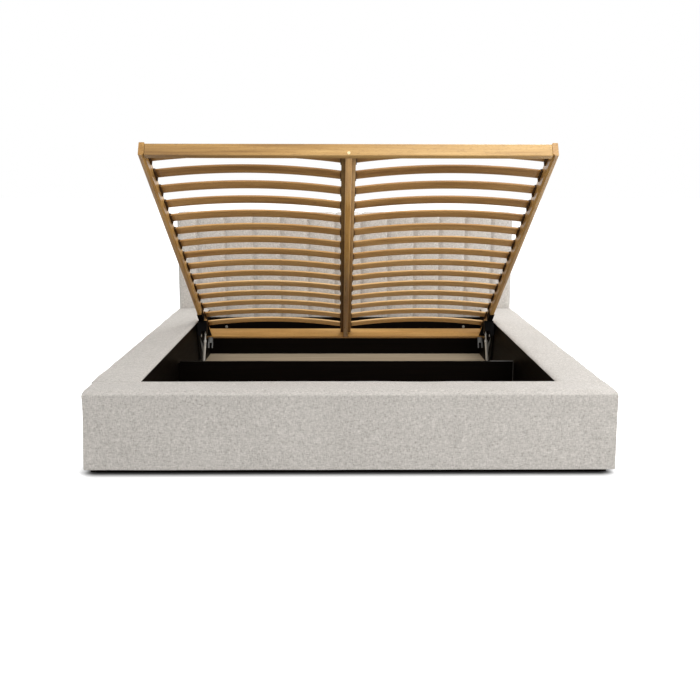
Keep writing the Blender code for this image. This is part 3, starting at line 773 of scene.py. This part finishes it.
def turned_pieces(name, profile, places, direction, material, ring=False, steps=18):
    """One piece made of copies of a turned shape; the profile is (radius, rise) points along a direction."""
    along = Vector(direction).normalized()
    across = along.orthogonal().normalized()
    third = along.cross(across)
    points, faces = [], []
    for place in places:
        rows = []
        for radius, rise in profile:
            centre = Vector(place) + along * rise
            count = steps if radius > 0 else 1
            rows.append(range(len(points), len(points) + count))
            for i in range(count):
                angle = 2 * math.pi * i / steps
                points.append(centre + (across * math.cos(angle) + third * math.sin(angle)) * radius)
        pairs = list(zip(rows, rows[1:]))
        if ring:
            pairs.append((rows[-1], rows[0]))
        for row, following in pairs:
            for i in range(steps):
                j = (i + 1) % steps
                corners = [row[i % len(row)], row[j % len(row)]]
                corners += [following[j % len(following)], following[i % len(following)]]
                faces.append(list(dict.fromkeys(corners)))
        if not ring and profile[0][0] > 0:
            faces.append(list(reversed(rows[0])))
    return mesh_object(name, points, faces, material)


def head_profile(radius, height, dip=0.0):
    """Profile of a low domed head, with a dip in its middle if asked."""
    shoulder_shares = ((1.0, 0.0), (1.0, 0.35), (0.86, 0.78), (0.55, 1.0))
    crown_share, lip_share, dip_share = 1.05, 0.34, 0.28
    shoulder = [(across * radius, rise * height) for across, rise in shoulder_shares]
    if dip:
        low = height - dip
        return shoulder + [(lip_share * radius, height), (dip_share * radius, low), (0.0, low)]
    return shoulder + [(0.0, crown_share * height)]


def lofted(bodies):
    """Points and faces of closed bodies, each through its own list of equal rings."""
    points, faces = [], []
    for body in bodies:
        count = len(body[0])
        first = len(points)
        for ring in body:
            points += ring
        for step in range(len(body) - 1):
            near = first + step * count
            for i in range(count):
                j = (i + 1) % count
                faces.append((near + i, near + j, near + count + j, near + count + i))
        faces.append(tuple(range(first, first + count)))
        faces.append(tuple(reversed(range(len(points) - count, len(points)))))
    return points, faces


def round_rectangle(low, high, low_round, high_round, steps=3):
    """Outline of a rectangle with rounded corners; its lower and upper corners may differ."""
    outline = []
    quarter = math.pi / 2
    for turn, centre, radius in (
        (2, (low[0] + low_round, low[1] + low_round), low_round),
        (3, (high[0] - low_round, low[1] + low_round), low_round),
        (0, (high[0] - high_round, high[1] - high_round), high_round),
        (1, (low[0] + high_round, high[1] - high_round), high_round),
    ):
        for step in range(steps + 1):
            angle = quarter * (turn + step / steps)
            outline.append((centre[0] + radius * math.cos(angle), centre[1] + radius * math.sin(angle)))
    return outline


def build_slats():
    """Crowned slats with rounded edges, a little higher at the side rails than at the centre rail."""
    steps = 24
    edge_round = 1.6 * millimetre
    half = slat_width / 2
    outline = round_rectangle((-half, 0.0), (half, slat_thickness), edge_round, edge_round)
    for side, label in sides:
        for row, place in enumerate(slat_places):
            rings = []
            for step in range(steps + 1):
                share = step / steps
                x = side * (slat_inner_x + (slat_outer_x - slat_inner_x) * share)
                rise = slat_end_height + slat_outer_lift * share + slat_crown * 4 * share * (1 - share)
                rings.append([lid_point(x, place + across, rise + up) for across, up in outline])
            number = f"{label}_slat_{row + 1:02d}"
            slat = mesh_object(f"{number}_beech", *lofted([rings]), slat_beech)
            finish_piece(slat, "lid", "beech", number)


def build_centre_rail():
    """Centre rail with well rounded lower edges, and the holder strip along each of its sides; the left strip
    takes a darker copy of the strip plastic as painted shade and the right a lighter copy as painted light.
    """
    ends = (cross_rail_thickness + slat_end_gap, lid_length - cross_rail_thickness - slat_end_gap)
    half = centre_rail_width / 2
    low_round, high_round = 5 * millimetre, 2 * millimetre
    outline = round_rectangle((-half, 0.0), (half, cross_rail_height), low_round, high_round)
    rings = [[lid_point(x, place, height) for x, height in outline] for place in ends]
    rail = mesh_object("centre_rail_beech", *lofted([rings]), long_beech)
    finish_piece(rail, "lid", "beech", "lid_centre_rail")
    strip_width = 15.5 * millimetre
    strip_bottom, strip_top = 0.029, 0.046
    strip_round = 2 * millimetre
    for (side, label), painted_strip_material in zip(sides, (painted_shade_strip, painted_light_strip)):
        xs = sorted((side * half, side * (half + strip_width)))
        outline = round_rectangle((xs[0], strip_bottom), (xs[1], strip_top), strip_round, strip_round)
        rings = [[lid_point(x, place, height) for x, height in outline] for place in ends]
        strip = mesh_object(f"{label}_centre_strip", *lofted([rings]), painted_strip_material)
        finish_piece(strip, "lid", "black_steel")


def build_slat_holders():
    """Dark brown plastic holders: a sleeve around each slat end that tapers back to its rail."""
    front_reach = slat_width / 2 + 2.5 * millimetre
    rear_reach = slat_width / 2 + 4 * millimetre
    tail = 20 * millimetre
    shoulder = 4 * millimetre
    wall = 2.5 * millimetre
    insets = (millimetre, 0.0, 0.0, millimetre)
    inner_depth, outer_depth = 18.5 * millimetre, 9 * millimetre
    ends = (
        ("inner", 1, slat_inner_x, 0.0, inner_depth),
        ("outer", -1, slat_outer_x, slat_outer_lift, outer_depth),
    )
    for side, label in sides:
        for end, inward, root, lift, depth in ends:
            bottom = slat_end_height + lift - wall
            top = bottom + slat_thickness + 2 * wall
            heights = (bottom, bottom + millimetre, top - millimetre, top)
            bodies = []
            for place in slat_places:
                front, rear, tip = place - front_reach, place + rear_reach, place + rear_reach + tail
                outline = (
                    (0.0, front), (depth - shoulder, front), (depth, front + shoulder),
                    (depth, rear), (shoulder, tip), (0.0, tip),
                )
                body = []
                for height, inset in zip(heights, insets):
                    ring = []
                    for reach, along in outline:
                        x = side * (root + inward * min(reach, depth - inset))
                        ring.append(lid_point(x, min(max(along, front + inset), tip - inset), height))
                    body.append(ring)
                bodies.append(body)
            holders = mesh_object(f"{label}_{end}_slat_holders", *lofted(bodies), cap_plastic, False)
            finish_piece(holders, "lid", "black_steel")


def build_lid_screws():
    """Screws through the side rails into the cross rails, and a pale plug on the front rail."""
    corner_inset = cross_rail_thickness / 2
    corner_heights = (0.016, 0.037)
    screw = head_profile(radius=0.0045, height=0.0016, dip=0.0011)
    for side, label in sides:
        places = [
            lid_point(side * half_lid, place, height)
            for place in (corner_inset, lid_length - corner_inset)
            for height in corner_heights
        ]
        screws = turned_pieces(f"{label}_rail_screws", screw, places, (side, 0, 0), zinc)
        finish_piece(screws, "lid", "zinc_steel")
    plug_height = 0.010
    plug_place = lid_point(0.0, 0.0, plug_height)
    plug_profile = head_profile(radius=0.0065, height=0.0016)
    forward = lid_point(0, -1, 0) - lid_point(0, 0, 0)
    plug = turned_pieces("front_rail_plug", plug_profile, [plug_place], forward, cream_plastic)
    finish_piece(plug, "lid", "beech")


build_slats()
build_centre_rail()
build_slat_holders()
build_lid_screws()


# Lift fitting

plate_inner_x = 0.8112
flange_inner_x = 0.8033
bracket_inner_x = 0.7570
bracket_underside = -0.003
rear_lid_place = 1.860
strut_base = Vector((0.7972, 0.6550, 0.0600))
strut_top = Vector((0.7658, 0.5475, 0.2553))
cylinder_length = 0.1627
rod_eye_neck = 0.0095


def build_fitting_screws():
    """Screws and rivet heads of the lift fitting."""
    flat = head_profile(radius=0.0045, height=0.0005, dip=0.0003)
    low_screw = head_profile(radius=0.0042, height=0.0018, dip=0.0012)
    rivet = head_profile(radius=0.0085, height=0.0022)
    plate_screws = ((0.600, 0.050), (0.700, 0.046), (0.776, 0.048))
    bracket_screws = (1.785, 1.835, 1.905)
    down = lid_point(0, 0, -1) - lid_point(0, 0, 0)
    for side, label in sides:
        inward = (-side, 0, 0)
        middle_x = side * (bracket_inner_x + flange_inner_x) / 2
        plate_places = [(side * plate_inner_x, y, z) for y, z in plate_screws]
        rivet_places = [
            lid_point(side * flange_inner_x, place, lid_pivot_height)
            for place in (lid_pivot_place, rear_lid_place)
        ]
        bracket_places = [lid_point(middle_x, place, bracket_underside) for place in bracket_screws]
        for name, profile, places, direction, body in (
            ("plate_screws", flat, plate_places, inward, "base"),
            ("lid_rivets", rivet, rivet_places, inward, "lid"),
            ("bracket_screws", low_screw, bracket_places, down, "lid"),
        ):
            heads = turned_pieces(f"{label}_{name}", profile, places, direction, zinc)
            finish_piece(heads, body, "zinc_steel")


def build_rear_stops():
    """Steel stop under each rear corner of the lid, and the steel cover at the front of each bracket; the
    stops take the darker zinc copy as painted shade.
    """
    stop_places = (lid_length - 20 * millimetre, lid_length - 17 * millimetre)
    stop_top, bridge_bottom, leg_bottom = -0.5 * millimetre, -34 * millimetre, -66 * millimetre
    stop_inner, stop_outer = 0.753, 0.7805
    outer_leg, inner_leg = 8 * millimetre, 6 * millimetre
    stop_parts = (
        (stop_inner, stop_outer, bridge_bottom, stop_top),
        (stop_outer - outer_leg, stop_outer, leg_bottom, stop_top),
        (stop_inner, stop_inner + inner_leg, leg_bottom, stop_top),
    )
    shell = 3 * millimetre
    nose_places = (1.635, 1.722)
    nose_top = 0.030
    rail_inner = half_lid - side_rail_thickness
    nose_parts = (
        (rail_inner - shell, half_lid + shell, -shell, 0.0),
        (rail_inner - shell, rail_inner, -shell, nose_top),
        (half_lid, half_lid + shell, -shell, nose_top),
    )
    stop_bevel, nose_bevel = 0.6 * millimetre, 0.8 * millimetre
    for side, label in sides:
        for name, parts, (front, rear), bevel, material, slot_name in (
            ("rear_stop", stop_parts, stop_places, stop_bevel, painted_shade_zinc, "zinc_steel"),
            ("bracket_nose", nose_parts, nose_places, nose_bevel, black_coat, "black_steel"),
        ):
            blocks = []
            for near, far, bottom, top in parts:
                xs = sorted((side * near, side * far))
                blocks.append(((xs[0], front, bottom), (xs[1], rear, top)))
            piece = bevelled_blocks(f"{label}_{name}", blocks, bevel, material, True)
            finish_piece(piece, "lid", slot_name)


def build_strut_trims():
    """Zinc gland on the cylinder's open end, black sleeve on its foot, and a nut under the rod's eye."""
    gland_lip = 0.0015
    end = cylinder_length + gland_lip
    gland = [
        (0.0048, end), (0.0068, end), (0.0084, end - gland_lip), (0.0086, end - 0.004),
        (0.0084, end - 0.011), (0.0074, end - 0.012), (0.0048, end - 0.0012),
    ]
    sleeve = [
        (0.0062, 0.0062), (0.0082, 0.0062), (0.0092, 0.0085), (0.0092, 0.0150),
        (0.0086, 0.0210), (0.0077, 0.0225), (0.0062, 0.0130),
    ]
    nut_gap, nut_depth = 0.0035, 0.0045
    nut_top = -rod_eye_neck - nut_gap
    round_corners, nut_corners = 18, 6
    nut = [
        (0.0046, nut_top), (0.0072, nut_top), (0.0076, nut_top - nut_depth / 2),
        (0.0072, nut_top - nut_depth), (0.0046, nut_top - nut_depth),
    ]
    for side, label in sides:
        base = Vector((side * strut_base.x, strut_base.y, strut_base.z))
        top = Vector((side * strut_top.x, strut_top.y, strut_top.z))
        along = (top - base).normalized()
        for name, profile, place, material, steps, body, slot_name in (
            ("strut_gland", gland, base, zinc, round_corners, "gas_cylinder", "zinc_steel"),
            ("strut_sleeve", sleeve, base, black_coat, round_corners, "gas_cylinder", "black_steel"),
            ("rod_nut", nut, top, zinc, nut_corners, "gas_rod", "zinc_steel"),
        ):
            piece = turned_pieces(f"{label}_{name}", profile, [place], along, material, True, steps)
            finish_piece(piece, f"{label}_{body}_body", slot_name)


build_fitting_screws()
build_rear_stops()
build_strut_trims()


# Storage box trims

def build_box_trims():
    """Bolt caps on the rear panel, the divider's cap strip and its thin angle, and a black plinth that stands
    in for the shade in the gap under the pads: painted shade.
    """
    bolt_x, bolt_z = 0.713, 0.200
    places = [(side * bolt_x, rear_panel_y, bolt_z) for side in (-1, 1)]
    profile = head_profile(radius=0.0085, height=0.003)
    caps = turned_pieces("rear_panel_caps", profile, places, (0, -1, 0), pale_plastic)
    finish_piece(caps, "base", "zinc_steel")

    cap_bevel, angle_bevel = 0.8 * millimetre, 0.4 * millimetre
    leg, cap_height = 0.0012, 8 * millimetre
    angle_x, angle_width, angle_reach, angle_lift = 0.8060, 0.0045, 0.110, 10 * millimetre
    front, rear = divider_low.y, divider_high.y
    cap_top = divider_high.z + cap_height
    blocks = [((-angle_x, front, divider_high.z), (angle_x, rear, cap_top))]
    cap = bevelled_blocks("divider_cap", blocks, cap_bevel, dark_board)
    finish_piece(cap, "base", "black_board")
    angle_end = angle_x + angle_width
    blocks = [
        ((angle_x, front - leg, divider_low.z + angle_lift), (angle_end, front, cap_top + leg)),
        ((angle_x - angle_reach, front - leg, cap_top), (angle_end, rear, cap_top + leg)),
    ]
    angle = bevelled_blocks("divider_angle", blocks, angle_bevel, edge_band)
    finish_piece(angle, "base", "zinc_steel")

    # Painted shade: a black plinth set back under the pads' lower edge fills the shaded gap above the floor.
    recess, depth, floor_gap, overlap = 0.030, 0.020, 0.5 * millimetre, 2 * millimetre
    top = foot_low.z + overlap
    outer_x, outer_y = half_bed - recess, foot_low.y + recess
    blocks = [((-outer_x, outer_y, floor_gap), (outer_x, outer_y + depth, top))]
    for side in (-1, 1):
        xs = sorted((side * outer_x, side * (outer_x - depth)))
        blocks.append(((xs[0], outer_y + depth, floor_gap), (xs[1], head_low.y, top)))
    painted_shade_plinth = bevelled_blocks("base_plinth", blocks, millimetre, dark_board)
    finish_piece(painted_shade_plinth, "base", "black_board")


build_box_trims()


# Camera

def build_camera():
    """The photograph's view."""
    downward, turn, roll = math.radians(10.2723), -math.radians(0.6716), math.radians(0.0987)
    data = bpy.data.cameras.new("camera")
    data.lens = 49.716
    data.sensor_width = 36.0
    data.sensor_fit = "HORIZONTAL"
    camera = bpy.data.objects.new("camera", data)
    camera.location = (-0.0381, -4.6755, 1.1007)
    camera.rotation_euler = (math.pi / 2 - downward, 0.0, turn)
    camera.rotation_euler.rotate_axis("Z", roll)
    scene.collection.objects.link(camera)
    scene.camera = camera


build_camera()


# Floor and lights

def build_floor():
    """A pale floor with a painted contact shadow: its colour darkens and its glow stops towards the bed's
    outline, and further away it glows white.
    """
    material, tree, shader, vector = new_material("floor_pale")
    set_inputs(shader, Roughness=0.9, Specular_IOR_Level=0.0, Emission_Strength=1.0)
    places = split_axes(tree, vector)
    # Painted contact shadow: the floor's colour is darkened and its glow is cut within about 10 cm of the
    # bed's outline, drawn in by 6 cm at the sides.
    inset = 0.06
    halves = (half_bed - inset, head_high.y)
    outside = []
    for axis in range(2):
        away = math_node(tree, "ABSOLUTE", places[axis])
        away = math_node(tree, "SUBTRACT", away, halves[axis])
        away = math_node(tree, "MAXIMUM", away, 0.0)
        outside.append(math_node(tree, "POWER", away, 2.0))
    distance = math_node(tree, "SQRT", math_node(tree, "ADD", *outside))
    painted_shadow_levels = ((0.0, 0.02), (0.02, 0.16), (0.045, 0.42), (0.075, 0.68), (0.11, 0.78))
    glows = ((0.03, 0.0), (0.10, 0.75))
    for levels, socket in ((painted_shadow_levels, "Base Color"), (glows, "Emission Color")):
        stops = [(place, (level, level, level)) for place, level in levels]
        tree.links.new(colour_ramp(tree, distance, stops), shader.inputs[socket])
    reach = 40.0
    corners = [(-reach, -reach, 0.0), (reach, -reach, 0.0), (reach, reach, 0.0), (-reach, reach, 0.0)]
    floor = mesh_object("floor", corners, [(0, 1, 2, 3)], material, False)
    floor.visible_diffuse = False


def add_softbox(name, place, target, size, power):
    """A square area light aimed at a point."""
    data = bpy.data.lights.new(name, "AREA")
    data.shape = "SQUARE"
    data.size = size
    data.energy = power
    light = bpy.data.objects.new(name, data)
    light.location = place
    aim = Vector(target) - Vector(place)
    light.rotation_euler = aim.to_track_quat("-Z", "Y").to_euler()
    scene.collection.objects.link(light)


def build_light():
    """Surroundings white at eye level, dimmer above and below and brighter in front, and five soft lights."""
    world = bpy.data.worlds.new("studio")
    world.use_nodes = True
    tree = world.node_tree
    directions = split_axes(tree, tree.nodes.new("ShaderNodeTexCoord").outputs["Generated"])
    heights = ((-0.12, 0.42), (-0.05, 1.0), (0.18, 1.0), (0.45, 0.54))
    fronts = ((-0.88, 2.1), (-0.6, 1.2), (-0.1, 1.0))
    low, high, brightest = -1.0, 1.5, 2.0
    levels = []
    for shares, axis in ((heights, "Z"), (fronts, "Y")):
        place = math_node(tree, "SUBTRACT", directions[axis], low)
        place = math_node(tree, "DIVIDE", place, high - low)
        stops = [((share - low) / (high - low), (level / brightest,) * 3) for share, level in shares]
        ramp = colour_ramp(tree, place, stops)
        levels.append(math_node(tree, "MULTIPLY", ramp, brightest))
    background = tree.nodes["Background"]
    set_inputs(background, Color=(1.0, 1.0, 1.0, 1.0))
    tree.links.new(math_node(tree, "MULTIPLY", *levels), background.inputs["Strength"])
    scene.world = world
    middle = (0.1, 0.0, 0.4)
    for name, place, size, power in (
        ("rear_light", (1.2, 1.2, 3.4), 1.8, 78.0),
        ("front_light", (1.3, -2.3, 3.4), 2.0, 45.0),
        ("left_light", (-1.5, -0.5, 3.6), 1.8, 32.0),
        ("right_light", (3.6, -0.5, 0.55), 1.0, 40.0),
        ("low_front_light", (2.4, -2.9, 1.9), 1.6, 34.0),
    ):
        add_softbox(name, place, middle, size, power)
    scene.view_settings.view_transform = "Standard"


build_floor()
build_light()
